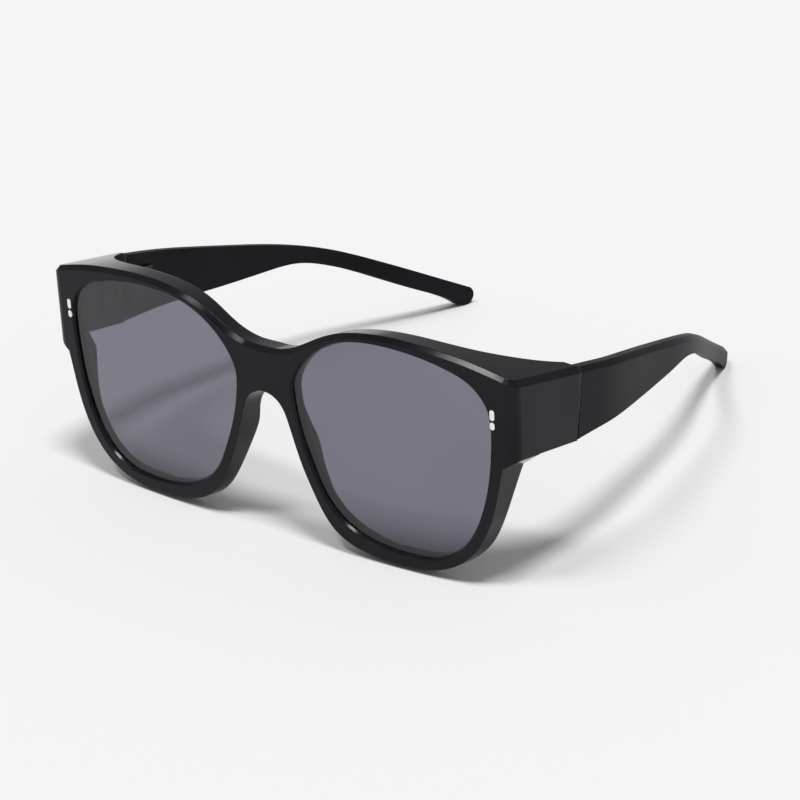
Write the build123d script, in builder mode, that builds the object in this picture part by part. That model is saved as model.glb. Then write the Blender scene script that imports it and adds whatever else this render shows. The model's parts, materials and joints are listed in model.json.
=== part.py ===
from build123d import *
import math
import os

# Fit-over sunglasses with a deep brow, in millimetres.
# +Z is up and the lenses face -Y. X = 0 is the plane between the two halves.
# The part stands as it rests when open: rims and temple tips on Z = 0.

# Overall sizes
overall_length = 153.0  # front of the bridge to the temple tips
front_height = 63.8  # on the front face, up to the crown of the brow
front_half_width = 74.8  # at the front corners
hinge_flare = 1.5  # each side stands out this much more at the seams
wrap_radius = 690.0  # curve of the front, seen from above
fall_angle = 11.5  # how much the moulded walls fall towards the rear

# Rims and lenses
rim_depth = 5.0
rim_side = 7.1  # from the front corner to the opening
rim_top = 3.3  # from the crown of the brow to the top of the opening
lens_gap = 18.6  # between the two openings
lens_base = 4.7  # lowest point of an opening
lens_thickness = 2.0
lens_recess = 1.0  # from the front face to the lens
lens_bite = 1.2  # how far the lens reaches into its groove
lens_clearance = 0.05
rim_overcut = 0.3  # the openings run this far behind the rims
bevel_width = 1.1  # sloping land round each opening
bevel_depth = 0.5
shoulder_bevel = 1.3  # along the top of the front and of the endpieces
bevel_steps = 12  # sections that carry the bevel along the temple
shoulder_blend = 35.0  # slope that brings the shelf down to the top of the temple

# Walls behind the rims
wall = 2.4
endpiece_height = 19.3
endpiece_depth = 30.4  # front plane to the seam at the hinge
corner_radius = 3.4
seam_gap = 0.25
seam_angle = 8.0  # lean of the seam and of the hinge pin

# Temples
temple_thickness = 3.6
temple_tip_thickness = 3.0
temple_bevel = 1.3  # along the outer top edge
temple_inset = 29.7  # how far the tip stands inside the seam

# Hinges
barrel_radius = 1.5
barrel_gap = 0.15  # from barrel to moulding
knuckle_height = 2.9
knuckle_gap = 0.1
pin_radius = 0.7
pin_clearance = 0.04
pin_head_radius = 1.2
pin_head_height = 0.6
leaf_length = 9.5
leaf_thickness = 0.9
hinge_drop = 9.0  # from the top of the temple to the middle of the hinge
fixing_radius = 0.65
fixing_head_radius = 1.15
fixing_head_height = 0.5
fixing_length = 2.4
fixing_clearance = 0.03
fixing_near = 3.8  # from the pin to the first fixing
fixing_pitch = 3.4

# Metal inlays on the front, one long and one short on each side
inlay_width = 1.3
inlay_long = 2.8
inlay_short = 2.0
inlay_gap = 0.5
inlay_proud = 0.2
inlay_pocket = 0.5
inlay_clearance = 0.03
inlay_drop = 13.5  # from the crown of the brow
inlay_side = 6.0  # from the front corner

overrun = 5.0

# Outlines, as shares of the half width and height of the front
brow_shares = [
    (0.0, 0.831), (0.067, 0.834), (0.134, 0.859), (0.187, 0.891), (0.241, 0.926),
    (0.321, 0.965), (0.428, 0.991), (0.548, 1.0), (0.668, 0.994), (0.802, 0.978),
    (0.936, 0.946), (1.0, 0.926),
]
rim_shares = [
    (0.949, 0.552), (0.932, 0.455), (0.908, 0.338), (0.872, 0.232), (0.82, 0.142),
    (0.754, 0.078), (0.679, 0.04), (0.602, 0.023), (0.508, 0.0195), (0.417, 0.03),
    (0.34, 0.052), (0.274, 0.097), (0.226, 0.165), (0.187, 0.25), (0.151, 0.342),
    (0.123, 0.436), (0.1, 0.522), (0.081, 0.577), (0.053, 0.614), (0.0, 0.634),
]
# Lens opening, as shares of its width and height
opening_shares = [
    (0.0, 0.668), (0.029, 0.486), (0.089, 0.31), (0.159, 0.167), (0.269, 0.065),
    (0.423, 0.011), (0.577, 0.0), (0.731, 0.022), (0.851, 0.11), (0.93, 0.256),
    (0.978, 0.435), (1.0, 0.65), (0.984, 0.812), (0.918, 0.9), (0.8, 0.955),
    (0.628, 0.991), (0.457, 1.0), (0.286, 0.977), (0.149, 0.909), (0.047, 0.805),
]
# Rear edge of the brow, seen from above: shares of half width and endpiece depth
shelf_shares = [
    (0.0, 0.247), (0.16, 0.207), (0.29, 0.24), (0.47, 0.283), (0.67, 0.345),
    (0.78, 0.428), (0.87, 0.6), (0.935, 0.81),
]
skirt_top_share = 0.45  # depth of the side wall right under the endpiece
# Rear edge of the side wall below the endpiece: shares of endpiece depth and front height
skirt_shares = [
    (0.43, 0.52), (0.375, 0.43), (0.325, 0.33), (0.305, 0.235),
    (0.295, 0.155), (0.25, 0.09), (0.2, 0.04), (0.17, 0.0),
]
# Rear edge of the nose pads: shares of endpiece depth and front height
pad_shares = [
    (0.23, 0.7), (0.225, 0.58), (0.235, 0.5), (0.265, 0.43), (0.24, 0.34),
    (0.215, 0.24), (0.2, 0.15), (0.17, 0.05),
]
# Temple, seen from the side: shares of its length and of its height at the seam
temple_top_shares = [
    (0.0, 1.0), (0.156, 0.91), (0.32, 0.805), (0.484, 0.692), (0.566, 0.625),
    (0.648, 0.544), (0.73, 0.444), (0.811, 0.339), (0.893, 0.231), (0.986, 0.109),
]
temple_under_shares = [
    (0.9616, 0.0103), (0.925, 0.075), (0.852, 0.172), (0.77, 0.281), (0.689, 0.391),
    (0.607, 0.488), (0.525, 0.555), (0.443, 0.573), (0.32, 0.588), (0.156, 0.617),
    (0.0, 0.642),
]
# Temple, seen from above: shares of its length and of its inset
temple_plan_shares = [
    (0.085, 0.0), (0.2, 0.045), (0.32, 0.125), (0.484, 0.24), (0.607, 0.38),
    (0.73, 0.58), (0.852, 0.79), (1.0, 1.0), (1.04, 1.06),
]
tip_share = (0.9963, 0.0272)

hinge_half_width = front_half_width + hinge_flare
lens_width = front_half_width - rim_side - lens_gap / 2
lens_height = front_height - rim_top - lens_base
inlay_top = front_height - inlay_drop
inlay_x = front_half_width - inlay_side

front_y = -overall_length / 2
seam_y = front_y + endpiece_depth
temple_length = overall_length - endpiece_depth - seam_gap
fall = math.tan(math.radians(fall_angle))
inner_half_width = hinge_half_width - temple_thickness
pin_x = inner_half_width - barrel_radius - barrel_gap
moulding_depth = endpiece_depth + overrun
wide = hinge_half_width + overrun
tall = front_height + overrun
fall_direction = (0, math.cos(math.radians(fall_angle)), -math.sin(math.radians(fall_angle)))
fall_length = moulding_depth / math.cos(math.radians(fall_angle))


def sag(x):
    """Depth of the front arc behind its foremost line at a distance x from the middle."""
    return wrap_radius - math.sqrt(wrap_radius**2 - x**2)


def scaled(shares, width, height, x=0.0, y=0.0):
    """Points of a table of shares, in millimetres."""
    return [(x + u * width, y + v * height) for u, v in shares]


def beside(points, distances):
    """Points of a line moved sideways, to the left of its run, by a distance for each."""
    line = []
    for i, (x, y) in enumerate(points):
        before = points[max(i - 1, 0)]
        after = points[min(i + 1, len(points) - 1)]
        run = math.hypot(after[0] - before[0], after[1] - before[1])
        line.append((
            x - distances[i] * (after[1] - before[1]) / run,
            y + distances[i] * (after[0] - before[0]) / run,
        ))
    return line


# The line of the brow runs on past the front corner to the hinge, and the temple takes it up there
brow_near, brow_corner = scaled(brow_shares[-2:], front_half_width, front_height)
brow_slope = (brow_corner[1] - brow_near[1]) / (brow_corner[0] - brow_near[0])
shoulder_height = brow_corner[1] + brow_slope * hinge_flare
step_height = shoulder_height - endpiece_height
temple_top = shoulder_height - fall * (endpiece_depth + seam_gap)
hinge_height = temple_top - hinge_drop


def both_halves(points):
    """A line from the middle out to the right, made whole from left to right."""
    return [(-x, z) for x, z in reversed(points) if x > 0] + points


def front_outline(inset=0.0):
    """Front outline of the moulding on its foremost plane, drawn in by an inset."""
    brow = scaled(brow_shares[:-1], front_half_width, front_height)
    brow = both_halves(brow + [(hinge_half_width, shoulder_height)])
    rim = both_halves(scaled(reversed(rim_shares), front_half_width, front_height))
    brow = beside(brow, [-inset] * len(brow))
    rim = beside(rim, [inset] * len(rim))
    ledge = step_height + 2 * inset
    with BuildSketch(Plane.XZ.offset(-front_y)) as sketch:
        with BuildLine():
            Spline(*brow)
            Polyline(brow[-1], (brow[-1][0], ledge), rim[-1])
            Spline(*reversed(rim))
            Polyline(rim[0], (brow[0][0], ledge), brow[0])
        make_face()
    return sketch.sketch


def opening_face(side=1, growth=0.0):
    """Lens opening of the right half, or of the left with side = -1, grown all round."""
    ring = scaled(opening_shares, lens_width, lens_height, lens_gap / 2, lens_base)
    ring = [ring[-1]] + ring + [ring[0]]
    ring = beside(ring, [-growth] * len(ring))[1:-1]
    with BuildSketch(Plane.XZ.offset(-front_y)) as sketch:
        with BuildLine():
            Spline(*[(side * x, z) for x, z in ring], periodic=True)
        make_face()
    return sketch.sketch


def wrap_band(near, far):
    """Band between two arcs of the wrap, seen from above."""
    dip = sag(wide)
    with BuildSketch(Plane.XY.offset(-overrun)) as sketch:
        with BuildLine():
            ThreePointArc((-wide, front_y + near + dip), (0, front_y + near), (wide, front_y + near + dip))
            Line((wide, front_y + near + dip), (wide, front_y + far + dip))
            ThreePointArc((wide, front_y + far + dip), (0, front_y + far), (-wide, front_y + far + dip))
            Line((-wide, front_y + far + dip), (-wide, front_y + near + dip))
        make_face()
    return sketch.sketch


def bevel_cut(points, bevel):
    """What a bevel takes off an outer top edge that runs from front to rear through some points."""
    with BuildPart() as cutter:
        for point in points:
            with BuildSketch(Plane(origin=point, x_dir=(1, 0, 0), z_dir=(0, -1, 0))):
                with BuildLine():
                    Polyline((-2 * bevel, bevel), (bevel, -2 * bevel), (bevel, bevel), close=True)
                make_face()
        loft()
    return cutter.part


# Hollow behind the rims, under the brow and inside the side walls
with BuildPart() as hollow_form:
    extrude(front_outline(wall), amount=fall_length + overrun, dir=fall_direction)
    rear_sag = sag(inner_half_width)
    with BuildSketch(Plane.XY.offset(-overrun)):
        with BuildLine():
            ThreePointArc(
                (-inner_half_width, front_y + rim_depth + rear_sag),
                (0, front_y + rim_depth),
                (inner_half_width, front_y + rim_depth + rear_sag),
            )
            Polyline(
                (inner_half_width, front_y + rim_depth + rear_sag),
                (inner_half_width, seam_y + 2 * overrun),
                (-inner_half_width, seam_y + 2 * overrun),
                (-inner_half_width, front_y + rim_depth + rear_sag),
            )
        make_face()
    extrude(amount=tall + overrun, mode=Mode.INTERSECT)

# What is cut away behind the rear edge of the brow
pad = scaled(pad_shares, endpiece_depth, front_height, front_y)
with BuildPart() as brow_cut:
    shelf = both_halves(scaled(shelf_shares, front_half_width, endpiece_depth, 0, front_y))
    shelf = [(-inner_half_width, seam_y)] + shelf + [(inner_half_width, seam_y)]
    with BuildSketch(Plane.XY.offset(pad[0][1])):
        with BuildLine():
            Spline(*shelf)
            Polyline(
                shelf[-1],
                (inner_half_width, seam_y + 2 * overrun),
                (-inner_half_width, seam_y + 2 * overrun),
                shelf[0],
            )
        make_face()
    extrude(amount=tall)

# What is cut away behind the side walls, below the endpieces
lens_middle = lens_gap / 2 + lens_width / 2
with BuildPart() as skirt_cut:
    skirt_depth = endpiece_depth * skirt_top_share
    rim_end = scaled(rim_shares[:1], front_half_width, front_height)[0]
    ledge_slope = (step_height - rim_end[1]) / (hinge_half_width - rim_end[0])
    ledge_drop = ledge_slope * hinge_flare * (1 - skirt_top_share)
    ledge_end = (front_y + skirt_depth, step_height - fall * skirt_depth - ledge_drop)
    ledge_rear = (seam_y, step_height - fall * endpiece_depth)
    skirt = [ledge_end] + scaled(skirt_shares, endpiece_depth, front_height, front_y)
    with BuildSketch(Plane.YZ.offset(lens_middle)):
        with BuildLine():
            Spline(*skirt)
            Polyline(
                skirt[-1],
                (skirt[-1][0], -overrun),
                (seam_y + 2 * overrun, -overrun),
                (seam_y + 2 * overrun, ledge_rear[1] - fall * 2 * overrun),
                ledge_rear,
                ledge_end,
            )
        make_face()
    extrude(amount=wide)
    with BuildSketch(Plane.XY.offset(-overrun)):
        with Locations((0, skirt[0][0])):
            Rectangle(
                2 * inner_half_width, moulding_depth, align=(Align.CENTER, Align.MIN),
            )
    extrude(amount=step_height + 2 * wall + overrun)
    mirror(about=Plane.YZ)

# What is cut away behind the nose pads
with BuildPart() as pad_cut:
    with BuildSketch(Plane.YZ.offset(-lens_middle)):
        with BuildLine():
            Spline(*pad)
            Polyline(
                pad[-1],
                (pad[-1][0], -overrun),
                (seam_y + 2 * overrun, -overrun),
                (seam_y + 2 * overrun, pad[0][1]),
                pad[0],
            )
        make_face()
    extrude(amount=2 * lens_middle)

# Outer limits of the front, seen from above: arc, rounded corners and flared sides
with BuildPart() as plan_limit:
    corner_sag = sag(front_half_width)
    flare = (hinge_half_width - front_half_width) / (endpiece_depth - corner_sag)
    flare_end = hinge_half_width + flare * 2 * overrun
    with BuildSketch(Plane.XY.offset(-overrun)) as plan_sketch:
        with BuildLine():
            ThreePointArc(
                (-front_half_width, front_y + corner_sag),
                (0, front_y),
                (front_half_width, front_y + corner_sag),
            )
            Polyline(
                (front_half_width, front_y + corner_sag),
                (flare_end, seam_y + 2 * overrun),
                (-flare_end, seam_y + 2 * overrun),
                (-front_half_width, front_y + corner_sag),
            )
        make_face()
        fillet(plan_sketch.vertices().group_by(Axis.Y)[0], corner_radius)
    extrude(amount=tall + overrun)


# Openings with their lens grooves
with BuildPart() as lens_seats:
    for side in (1, -1):
        extrude(opening_face(side, lens_bite + lens_clearance), amount=-moulding_depth)
    near = lens_recess - lens_clearance
    far = lens_recess + lens_thickness + lens_clearance
    extrude(wrap_band(near, far), amount=tall + overrun, mode=Mode.INTERSECT)

# Metal inlays: pills let into the front face beside the lenses
inlay_lean = math.degrees(math.asin(inlay_x / wrap_radius))
inlay_middles = [
    (inlay_top - inlay_long / 2, inlay_long),
    (inlay_top - inlay_long - inlay_gap - inlay_short / 2, inlay_short),
]


def inlay_plane(height):
    """Plane on the front face at an inlay."""
    lean = math.radians(inlay_lean)
    return Plane(
        origin=(inlay_x, front_y + sag(inlay_x), height),
        x_dir=(math.cos(lean), math.sin(lean), 0),
        z_dir=(math.sin(lean), -math.cos(lean), 0),
    )


def inlay_pill(middle, length, growth, top, bottom):
    """Pill shape standing on the front face."""
    with BuildPart() as pill:
        with BuildSketch(inlay_plane(middle).offset(top)):
            SlotOverall(length + 2 * growth, inlay_width + 2 * growth, rotation=90)
        extrude(amount=-(top + bottom))
    return pill.part


with BuildPart() as inlay_pockets:
    for middle, length in inlay_middles:
        add(inlay_pill(middle, length, inlay_clearance, overrun, inlay_pocket))
    mirror(about=Plane.YZ)

# The seam and the hinge pin lean together
seam_plane = Plane(
    origin=(0, seam_y, hinge_height),
    x_dir=(1, 0, 0),
    z_dir=(0, math.cos(math.radians(seam_angle)), -math.sin(math.radians(seam_angle))),
)
hinge_plane = Plane(
    origin=(pin_x, seam_y + seam_gap / 2, hinge_height),
    x_dir=(1, 0, 0),
    z_dir=(0, math.sin(math.radians(seam_angle)), math.cos(math.radians(seam_angle))),
)
leaf_height = 3 * knuckle_height + 2 * knuckle_gap
leaf_offset = inner_half_width - pin_x  # from the pin to the wall that carries the leaves
fixing_places = [fixing_near, fixing_near + fixing_pitch]


def fixing_plane(distance):
    """Plane on the inside of a leaf, at a fixing, facing the nose."""
    middle = hinge_plane.from_local_coords((leaf_offset - leaf_thickness, distance, 0))
    return Plane(origin=middle, x_dir=hinge_plane.y_dir, z_dir=(-1, 0, 0))


def fixing_holes(sign):
    """Holes for the fixings of one leaf, through the leaf and into the moulding."""
    with BuildPart() as holes:
        for place in fixing_places:
            with BuildSketch(fixing_plane(sign * place)):
                Circle(fixing_radius + fixing_clearance)
            extrude(amount=-(fixing_length + fixing_clearance))
    return holes.part


# Openings through the rims, widening to the front in a sloping land
with BuildPart() as bevelled_slab:
    extrude(wrap_band(0, rim_depth + rim_overcut), amount=tall + overrun)
    for side in (1, -1):
        extrude(opening_face(side), amount=-moulding_depth, mode=Mode.SUBTRACT)
    rings = bevelled_slab.edges().filter_by(lambda edge: edge.length > lens_width + lens_height)
    rings = rings.filter_by(GeomType.BSPLINE).sort_by(lambda edge: edge.bounding_box().min.Y)[:2]
    chamfer(rings, bevel_depth, bevel_width)

with BuildPart() as openings:
    for side in (1, -1):
        extrude(opening_face(side, 2 * bevel_width), amount=-moulding_depth)
    extrude(wrap_band(-overrun, rim_depth + rim_overcut), amount=tall + overrun, mode=Mode.INTERSECT)
    add(bevelled_slab.part, mode=Mode.SUBTRACT)

# What is cut off above the temples where the shelf meets them
with BuildPart() as shoulder_cut:
    lean = hinge_drop * math.tan(math.radians(seam_angle))
    meeting = (seam_y + lean, shoulder_height - fall * (endpiece_depth + lean))
    with BuildSketch(Plane.YZ.offset(inner_half_width - overrun)):
        with BuildLine():
            Polyline(
                meeting,
                (meeting[0] - overrun, meeting[1] + overrun * math.tan(math.radians(shoulder_blend))),
                (meeting[0] - overrun, tall),
                (meeting[0] + overrun, tall),
                (meeting[0] + overrun, meeting[1]),
                close=True,
            )
        make_face()
    extrude(amount=temple_thickness + 2 * overrun)
    mirror(about=Plane.YZ)

# The moulded front: rims, brow, endpieces, side walls and nose pads in one piece
with BuildPart() as front_frame:
    extrude(front_outline(), amount=fall_length, dir=fall_direction)
    for cut in (hollow_form, brow_cut, skirt_cut, pad_cut):
        add(cut.part, mode=Mode.SUBTRACT)
    add(plan_limit.part, mode=Mode.INTERSECT)
    split(bisect_by=seam_plane, keep=Keep.BOTTOM)
    shoulders = front_frame.edges().filter_by(
        lambda edge: abs(edge.center().X) > front_half_width
        and edge.center().Z > hinge_height
        and edge.length > endpiece_depth / 2
    )
    chamfer(shoulders, shoulder_bevel)
    add(shoulder_cut.part, mode=Mode.SUBTRACT)
    add(openings.part, mode=Mode.SUBTRACT)
    add(lens_seats.part, mode=Mode.SUBTRACT)
    add(inlay_pockets.part, mode=Mode.SUBTRACT)
    add(fixing_holes(-1), mode=Mode.SUBTRACT)
    add(mirror(fixing_holes(-1), about=Plane.YZ), mode=Mode.SUBTRACT)

# Lenses: wrapped sheet, snapped into the grooves
with BuildPart() as right_lens:
    extrude(opening_face(1, lens_bite), amount=-moulding_depth)
    sheet = wrap_band(lens_recess, lens_recess + lens_thickness)
    extrude(sheet, amount=tall + overrun, mode=Mode.INTERSECT)

with BuildPart() as left_lens:
    mirror(right_lens.part, about=Plane.YZ)

# Temple: the side profile crossed with the strip seen from above
temple_start = seam_y + seam_gap
with BuildPart() as right_temple:
    top_line = scaled(temple_top_shares, temple_length, temple_top, temple_start)
    under_line = scaled(temple_under_shares, temple_length, temple_top, temple_start)
    tip_middle = scaled([tip_share], temple_length, temple_top, temple_start)[0]
    root_top = (temple_start - overrun, top_line[0][1] + overrun * fall)
    root_under = (temple_start - overrun, under_line[-1][1])
    with BuildSketch(Plane.YZ.offset(inner_half_width - temple_inset - overrun)):
        with BuildLine():
            Line(root_top, top_line[0])
            Spline(*top_line)
            ThreePointArc(top_line[-1], tip_middle, under_line[0])
            Spline(*under_line)
            Polyline(under_line[-1], root_under, root_top)
        make_face()
    extrude(amount=temple_inset + temple_thickness + 2 * overrun)
    outer_line = [
        (hinge_half_width - v * temple_inset, temple_start + u * temple_length)
        for u, v in temple_plan_shares
    ]
    ends = (outer_line[-1][0] - outer_line[-2][0], outer_line[-1][1] - outer_line[-2][1])
    thinning = (temple_tip_thickness - temple_thickness) / (len(outer_line) - 1)
    inner_line = beside(outer_line, [temple_thickness + thinning * i for i in range(len(outer_line))])
    inner_line[0] = (inner_half_width, outer_line[0][1])  # straight as far as the hinge leaf
    with BuildSketch(Plane.XY.offset(-overrun)):
        with BuildLine():
            Line((hinge_half_width, temple_start - overrun), outer_line[0])
            Spline(*outer_line, tangents=[(0, 1), ends])
            Line(outer_line[-1], inner_line[-1])
            Spline(*reversed(inner_line), tangents=[(-ends[0], -ends[1]), (0, -1)])
            Polyline(
                inner_line[0],
                (inner_half_width, temple_start - overrun),
                (hinge_half_width, temple_start - overrun),
            )
        make_face()
    extrude(amount=tall + overrun, mode=Mode.INTERSECT)
    split(bisect_by=seam_plane.offset(seam_gap), keep=Keep.TOP)
    long_edges = right_temple.edges().filter_by(lambda edge: edge.length > temple_length / 2)
    top_edge = long_edges.sort_by(Axis.Z)[-2:].sort_by(Axis.X)[-1]
    run = [top_edge @ (i / bevel_steps) for i in range(bevel_steps + 1)]
    run.sort(key=lambda point: point.Y)
    root = [Vector(hinge_half_width, *root_top), Vector(hinge_half_width, *top_line[0])]
    tail = run[-1] + (run[-1] - run[-2])
    add(bevel_cut(root + run + [tail], temple_bevel), mode=Mode.SUBTRACT)
    add(fixing_holes(1), mode=Mode.SUBTRACT)

with BuildPart() as left_temple:
    mirror(right_temple.part, about=Plane.YZ)


def knuckle(low, high):
    """One barrel of the hinge, with its bore, between two heights along the pin."""
    with BuildPart() as barrel:
        with BuildSketch(hinge_plane.offset(low)):
            Circle(barrel_radius)
        extrude(amount=high - low)
    return barrel.part


def leaf_plate(near, far, low, high):
    """Flat of a leaf against its wall, between two distances from the pin and two heights."""
    with BuildPart() as plate:
        with BuildSketch(hinge_plane.offset(low)):
            with BuildLine():
                Polyline(
                    (leaf_offset - leaf_thickness, near),
                    (leaf_offset, near),
                    (leaf_offset, far),
                    (leaf_offset - leaf_thickness, far),
                    close=True,
                )
            make_face()
        extrude(amount=high - low)
    return plate.part


half_leaf = leaf_height / 2
half_middle = knuckle_height / 2
swing = barrel_radius + barrel_gap
with BuildPart() as pin_bore:
    with BuildSketch(hinge_plane.offset(-half_leaf - overrun)):
        Circle(pin_radius + pin_clearance)
    extrude(amount=leaf_height + 2 * overrun)

with BuildPart() as right_front_leaf:
    add(leaf_plate(-leaf_length, -swing, -half_leaf, half_leaf))
    for low, high in ((-half_leaf, -half_middle - knuckle_gap), (half_middle + knuckle_gap, half_leaf)):
        add(leaf_plate(-swing, -seam_gap / 2, low, high))
        add(knuckle(low, high))
    add(pin_bore.part, mode=Mode.SUBTRACT)
    add(fixing_holes(-1), mode=Mode.SUBTRACT)

with BuildPart() as right_temple_leaf:
    add(leaf_plate(swing, leaf_length, -half_leaf, half_leaf))
    add(leaf_plate(seam_gap / 2, swing, -half_middle, half_middle))
    add(knuckle(-half_middle, half_middle))
    add(pin_bore.part, mode=Mode.SUBTRACT)
    add(fixing_holes(1), mode=Mode.SUBTRACT)

with BuildPart() as right_hinge_screw:
    with BuildSketch(hinge_plane.offset(-half_leaf)):
        Circle(pin_radius)
    extrude(amount=leaf_height)
    with BuildSketch(hinge_plane.offset(half_leaf)):
        Circle(pin_head_radius)
    extrude(amount=pin_head_height)

pieces = {
    "front_frame": front_frame.part,
    "right_lens": right_lens.part,
    "left_lens": left_lens.part,
    "right_temple": right_temple.part,
    "left_temple": left_temple.part,
}


def fixing(distance):
    """Small screw that holds a leaf to its moulding."""
    with BuildPart() as screw:
        with BuildSketch(fixing_plane(distance)):
            Circle(fixing_head_radius)
        extrude(amount=fixing_head_height)
        with BuildSketch(fixing_plane(distance)):
            Circle(fixing_radius)
        extrude(amount=-fixing_length)
    return screw.part


paired = {
    "front_hinge_leaf": right_front_leaf.part,
    "temple_hinge_leaf": right_temple_leaf.part,
    "hinge_screw": right_hinge_screw.part,
}
for number, place in enumerate(fixing_places, 1):
    paired[f"front_leaf_screw_{number}"] = fixing(-place)
    paired[f"temple_leaf_screw_{number}"] = fixing(place)
for name, (middle, length) in zip(("upper_inlay", "lower_inlay"), inlay_middles):
    paired[name] = inlay_pill(middle, length, 0, inlay_proud, inlay_pocket - inlay_clearance)

for name, shape in paired.items():
    pieces["right_" + name] = shape
    pieces["left_" + name] = mirror(shape, about=Plane.YZ)

os.makedirs("parts", exist_ok=True)
for name, shape in pieces.items():
    shape.label = name
    export_step(shape, f"parts/{name}.step")
    box = shape.bounding_box()
    print(name, len(shape.solids()), round(shape.volume, 1), box.min, box.max)
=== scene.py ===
import json
import math

import bpy
from mathutils import Matrix, Vector

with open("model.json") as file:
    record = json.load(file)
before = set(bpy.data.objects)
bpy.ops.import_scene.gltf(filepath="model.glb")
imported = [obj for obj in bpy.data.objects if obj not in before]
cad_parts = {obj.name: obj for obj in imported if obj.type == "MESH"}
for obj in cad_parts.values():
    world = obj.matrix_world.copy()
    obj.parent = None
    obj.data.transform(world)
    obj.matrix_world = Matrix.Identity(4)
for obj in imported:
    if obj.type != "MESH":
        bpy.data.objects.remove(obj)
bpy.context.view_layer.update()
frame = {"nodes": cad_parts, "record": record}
nodes = frame["nodes"]
mm = 0.001
print("frame loaded:", len(nodes), "nodes")


# colours are written as sRGB hex and turned to linear here
def linear(hexColour):
    channels = [int(hexColour[i : i + 2], 16) / 255 for i in (1, 3, 5)]
    steps = [c / 12.92 if c <= 0.04045 else ((c + 0.055) / 1.055) ** 2.4 for c in channels]
    return (*steps, 1.0)


# one node with its inputs, which are values or (node, output) pairs, its settings and, for a ramp,
# its stops
def addNode(tree, kind, inputs=None, settings=None, stops=()):
    node = tree.nodes.new(kind)
    for name, value in (settings or {}).items():
        setattr(node, name, value)
    for name, value in (inputs or {}).items():
        socket = node.inputs[name]
        if isinstance(value, tuple) and len(value) == 2 and hasattr(value[0], "outputs"):
            tree.links.new(value[0].outputs[value[1]], socket)
        else:
            socket.default_value = value
    if stops:
        for element, (place, colour) in zip(node.color_ramp.elements, stops):
            element.position = place
            element.color = linear(colour)
    return node


def newMaterial(name):
    material = bpy.data.materials.new(name)
    material.use_nodes = True
    material.node_tree.nodes.clear()
    return material, material.node_tree


noiseRoughness = 0.6

# the front is semi-gloss, so that the crease of the brow catches the three boxes; sizes in mm
frontNylon = {
    "colours": ((0.35, "#131217"), (0.65, "#1b1a22")),  # over the flow pools of the mould
    "roughness": 0.15,
    "roughnessSpread": 0.04,
    "sheenSpan": (0.3, 0.7),
    "specular": 0.15,
    "grainSize": 0.35,  # real grain is finer than 0.1 mm, drawn coarser so that it shows
    "grainDetail": 3.0,
    "grainDepth": 0.012,
    "grainStrength": 0.25,
    "poolSize": 22.0,
    "poolDetail": 2.0,
    "edgeRound": 0.35,
    "edgeSamples": 12,
}
# the temples are of the same nylon and leave their mould with a more matt face
templeNylon = {
    **frontNylon,
    "roughness": 0.42,
    "roughnessSpread": 0.08,
    "specular": 0.08,
    "grainDepth": 0.016,
    "poolSize": 30.0,
    "edgeRound": 0.30,
}


# Injection-moulded black nylon: soft highlights, faintly uneven, with edges that the mould rounds
def mouldedNylon(name, settings):
    material, tree = newMaterial(name)
    place = (addNode(tree, "ShaderNodeTexCoord"), "Object")
    grain = addNode(tree, "ShaderNodeTexNoise", {
        "Vector": place,
        "Scale": 1 / (settings["grainSize"] * mm),
        "Detail": settings["grainDetail"],
        "Roughness": noiseRoughness,
    })
    pools = addNode(tree, "ShaderNodeTexNoise", {
        "Vector": place,
        "Scale": 1 / (settings["poolSize"] * mm),
        "Detail": settings["poolDetail"],
        "Roughness": noiseRoughness,
    })
    colour = addNode(tree, "ShaderNodeValToRGB", {"Fac": (pools, "Fac")}, stops=settings["colours"])
    sheen = addNode(tree, "ShaderNodeMapRange", {
        "Value": (pools, "Fac"),
        "From Min": settings["sheenSpan"][0],
        "From Max": settings["sheenSpan"][1],
        "To Min": settings["roughness"] - settings["roughnessSpread"] / 2,
        "To Max": settings["roughness"] + settings["roughnessSpread"] / 2,
    })
    rounding = addNode(
        tree, "ShaderNodeBevel", {"Radius": settings["edgeRound"] * mm},
        {"samples": settings["edgeSamples"]},
    )
    bump = addNode(tree, "ShaderNodeBump", {
        "Height": (grain, "Fac"),
        "Strength": settings["grainStrength"],
        "Distance": settings["grainDepth"] * mm,
        "Normal": (rounding, "Normal"),
    })
    shader = addNode(tree, "ShaderNodeBsdfPrincipled", {
        "Base Color": (colour, "Color"),
        "Roughness": (sheen, "Result"),
        "Specular IOR Level": settings["specular"],
        "Normal": (bump, "Normal"),
    })
    addNode(tree, "ShaderNodeOutputMaterial", {"Surface": (shader, "BSDF")})
    return material


# tint of the lenses, with its slow drift and the haze of wiping; sizes in mm
smoke = {
    "tints": ((0.3, "#7a7886"), (0.7, "#737180")),
    "cloudSize": 60.0,
    "cloudDetail": 1.0,
    "roughness": 0.02,
    "haze": 0.02,
    "hazeSize": 9.0,
    "hazeDetail": 2.0,
    "ior": 1.5,
}


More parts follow.
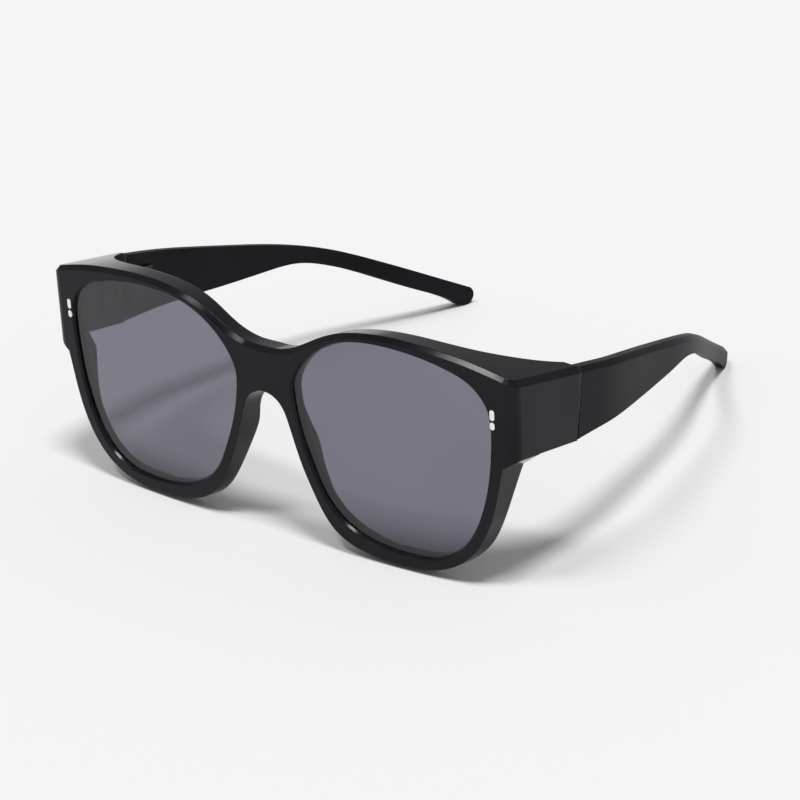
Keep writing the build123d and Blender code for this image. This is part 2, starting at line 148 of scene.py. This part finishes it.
# Polarised sheet lens, neutral smoke tint: clear dark glassy plastic that dims what is behind it
def smokeLens(name, settings):
    material, tree = newMaterial(name)
    place = (addNode(tree, "ShaderNodeTexCoord"), "Object")
    clouds = addNode(tree, "ShaderNodeTexNoise", {
        "Vector": place,
        "Scale": 1 / (settings["cloudSize"] * mm),
        "Detail": settings["cloudDetail"],
        "Roughness": noiseRoughness,
    })
    tint = addNode(tree, "ShaderNodeValToRGB", {"Fac": (clouds, "Fac")}, stops=settings["tints"])
    wipes = addNode(tree, "ShaderNodeTexNoise", {
        "Vector": place,
        "Scale": 1 / (settings["hazeSize"] * mm),
        "Detail": settings["hazeDetail"],
        "Roughness": noiseRoughness,
    })
    haze = addNode(tree, "ShaderNodeMapRange", {
        "Value": (wipes, "Fac"),
        "To Min": settings["roughness"],
        "To Max": settings["roughness"] + settings["haze"],
    })
    shader = addNode(tree, "ShaderNodeBsdfPrincipled", {
        "Base Color": (tint, "Color"),
        "Roughness": (haze, "Result"),
        "IOR": settings["ior"],
        "Transmission Weight": 1.0,
    })
    addNode(tree, "ShaderNodeOutputMaterial", {"Surface": (shader, "BSDF")})
    return material


# the hinges are blackened: the photo shows no bright metal through the lenses; sizes in mm,
# the marks of rolling, turning and polishing drawn coarser than real so that they show
hingeSteel = {
    "colour": "#38383b",
    "roughness": 0.42,
    "roughnessSpread": 0.13,
    "grainSize": 0.12,
    "grainDetail": 2.0,
    "stretch": (1, 0.12, 1),  # rolling marks run along the leaves
}
screwSteel = {
    "colour": "#3e3e42",
    "roughness": 0.30,
    "roughnessSpread": 0.10,
    "grainSize": 0.08,
    "grainDetail": 2.0,
    "stretch": (1, 1, 1),
}
nickel = {
    "colour": "#f0f0f0",
    "roughness": 0.15,
    "roughnessSpread": 0.08,
    "grainSize": 0.15,
    "grainDetail": 2.0,
    "stretch": (1, 1, 0.15),  # polishing marks run up the inlays
}


# Rolled, turned or polished metal: dark or bright as its colour says, with fine marks of the work
def workedMetal(name, settings):
    material, tree = newMaterial(name)
    place = (addNode(tree, "ShaderNodeTexCoord"), "Object")
    run = addNode(tree, "ShaderNodeMapping", {"Vector": place, "Scale": settings["stretch"]})
    marks = addNode(tree, "ShaderNodeTexNoise", {
        "Vector": (run, "Vector"),
        "Scale": 1 / (settings["grainSize"] * mm),
        "Detail": settings["grainDetail"],
        "Roughness": noiseRoughness,
    })
    rough = addNode(tree, "ShaderNodeMapRange", {
        "Value": (marks, "Fac"),
        "To Min": settings["roughness"] - settings["roughnessSpread"] / 2,
        "To Max": settings["roughness"] + settings["roughnessSpread"] / 2,
    })
    shader = addNode(tree, "ShaderNodeBsdfPrincipled", {
        "Base Color": linear(settings["colour"]),
        "Metallic": 1.0,
        "Roughness": (rough, "Result"),
    })
    addNode(tree, "ShaderNodeOutputMaterial", {"Surface": (shader, "BSDF")})
    return material


finishes = {
    "frame_plastic": mouldedNylon("satinBlackNylon", frontNylon),
    "lens_tint": smokeLens("smokePolarisedLens", smoke),
    "hinge_steel": workedMetal("blackenedHingeSteel", hingeSteel),
    "screw_steel": workedMetal("blackenedScrewSteel", screwSteel),
    "inlay_metal": workedMetal("polishedNickelSilver", nickel),
}
slotOf = {part["node"]: part["material_slot"] for part in frame["record"]["subparts"]}
mattNylon = mouldedNylon("mattBlackNylon", templeNylon)
temples = ("right_temple", "left_temple")
for nodeName, nodeObject in nodes.items():
    nodeObject.data.materials.clear()
    finish = mattNylon if nodeName in temples else finishes[slotOf[nodeName]]
    nodeObject.data.materials.append(finish)
print("materials set")


# a pale table under four lamps: the shares of lamps and air add up to 1, which brings the open
# table to its own colour
studio = {
    "table": "#f5f5f5",
    "tableSize": 6.0,  # in metres, wide enough to fill the picture
    "air": 0.30,
}

# share of the light, lean to the right and to the rear of overhead, and width in degrees;
# the key lamp throws the shadow, and the three boxes show as the bright strip on the brow's crease
lamps = {
    "keyLamp": {"share": 0.50, "lean": (0.22, -0.14), "width": 14.0},
    "frontBox": {"share": 0.09, "lean": (-0.10, -0.42), "width": 6.0},
    "middleBox": {"share": 0.07, "lean": (-0.20, -0.41), "width": 6.0},
    "sideBox": {"share": 0.04, "lean": (-0.30, -0.39), "width": 6.0},
}


def studioTable(settings):
    half = settings["tableSize"] / 2
    mesh = bpy.data.meshes.new("studioTable")
    corners = [(-half, -half, 0), (half, -half, 0), (half, half, 0), (-half, half, 0)]
    mesh.from_pydata(corners, [], [(0, 1, 2, 3)])
    table = bpy.data.objects.new("studioTable", mesh)
    bpy.context.collection.objects.link(table)
    material, tree = newMaterial("paleTable")
    diffuse = addNode(tree, "ShaderNodeBsdfDiffuse", {"Color": linear(settings["table"])})
    addNode(tree, "ShaderNodeOutputMaterial", {"Surface": (diffuse, "BSDF")})
    mesh.materials.append(material)


def studioLamp(name, settings):
    right, rear = settings["lean"]
    toLamp = Vector((right, rear, 1)).normalized()
    data = bpy.data.lights.new(name, "SUN")
    data.angle = math.radians(settings["width"])
    data.energy = math.pi * settings["share"] / toLamp.z  # gives a level table that share
    lamp = bpy.data.objects.new(name, data)
    bpy.context.collection.objects.link(lamp)
    lamp.rotation_euler = toLamp.to_track_quat("Z", "Y").to_euler()


# the air is dim where it lights the object or is mirrored in it, and pale where the camera looks
# past the table, also through a lens
def studioAir(settings):
    world = bpy.data.worlds.new("studioAir")
    world.use_nodes = True
    tree = world.node_tree
    tree.nodes.clear()
    path = addNode(tree, "ShaderNodeLightPath")
    seen = addNode(tree, "ShaderNodeMath", settings={"operation": "MAXIMUM"})
    tree.links.new(path.outputs["Is Camera Ray"], seen.inputs[0])
    tree.links.new(path.outputs["Is Transmission Ray"], seen.inputs[1])
    dim = addNode(tree, "ShaderNodeBackground", {
        "Color": (1, 1, 1, 1),
        "Strength": settings["air"],
    })
    pale = addNode(tree, "ShaderNodeBackground", {
        "Color": linear(settings["table"]),
        "Strength": 1.0,
    })
    mix = addNode(tree, "ShaderNodeMixShader", {"Fac": (seen, "Value")})
    tree.links.new(dim.outputs["Background"], mix.inputs[1])
    tree.links.new(pale.outputs["Background"], mix.inputs[2])
    addNode(tree, "ShaderNodeOutputWorld", {"Surface": (mix, "Shader")})
    bpy.context.scene.world = world


studioTable(studio)
for lampName, lampSettings in lamps.items():
    studioLamp(lampName, lampSettings)
studioAir(studio)
bpy.context.scene.view_settings.view_transform = "Standard"

# camera of the photograph, found by fitting both halves of the front to their traced outlines;
# angles in degrees, places in mm
camera = {
    "azimuth": 37.571,
    "elevation": 24.712,
    "roll": -2.881,
    "distance": 753.6,
    "target": (9.164, -31.6, 22.33),
    "focalPixels": 2822.3,
    "framePixels": 800,
    "sensor": 36.0,
    "nearest": 10.0,
    "farthest": 20000.0,
}


def photoCamera(settings):
    azimuth = math.radians(settings["azimuth"])
    elevation = math.radians(settings["elevation"])
    roll = math.radians(settings["roll"])
    # from the object to the camera
    back = Vector((
        math.sin(azimuth) * math.cos(elevation),
        -math.cos(azimuth) * math.cos(elevation),
        math.sin(elevation),
    ))
    right = Vector((math.cos(azimuth), math.sin(azimuth), 0))
    up = back.cross(right)
    right, up = (
        math.cos(roll) * right + math.sin(roll) * up,
        -math.sin(roll) * right + math.cos(roll) * up,
    )
    data = bpy.data.cameras.new("photoCamera")
    data.sensor_width = settings["sensor"]
    data.lens = settings["focalPixels"] / settings["framePixels"] * settings["sensor"]
    data.clip_start = settings["nearest"] * mm
    data.clip_end = settings["farthest"] * mm
    cameraObject = bpy.data.objects.new("photoCamera", data)
    bpy.context.collection.objects.link(cameraObject)
    place = Vector(settings["target"]) * mm + back * settings["distance"] * mm
    turn = Matrix((right, up, back)).transposed()
    cameraObject.matrix_world = Matrix.Translation(place) @ turn.to_4x4()
    bpy.context.scene.camera = cameraObject


photoCamera(camera)
print("stage, light and camera set")
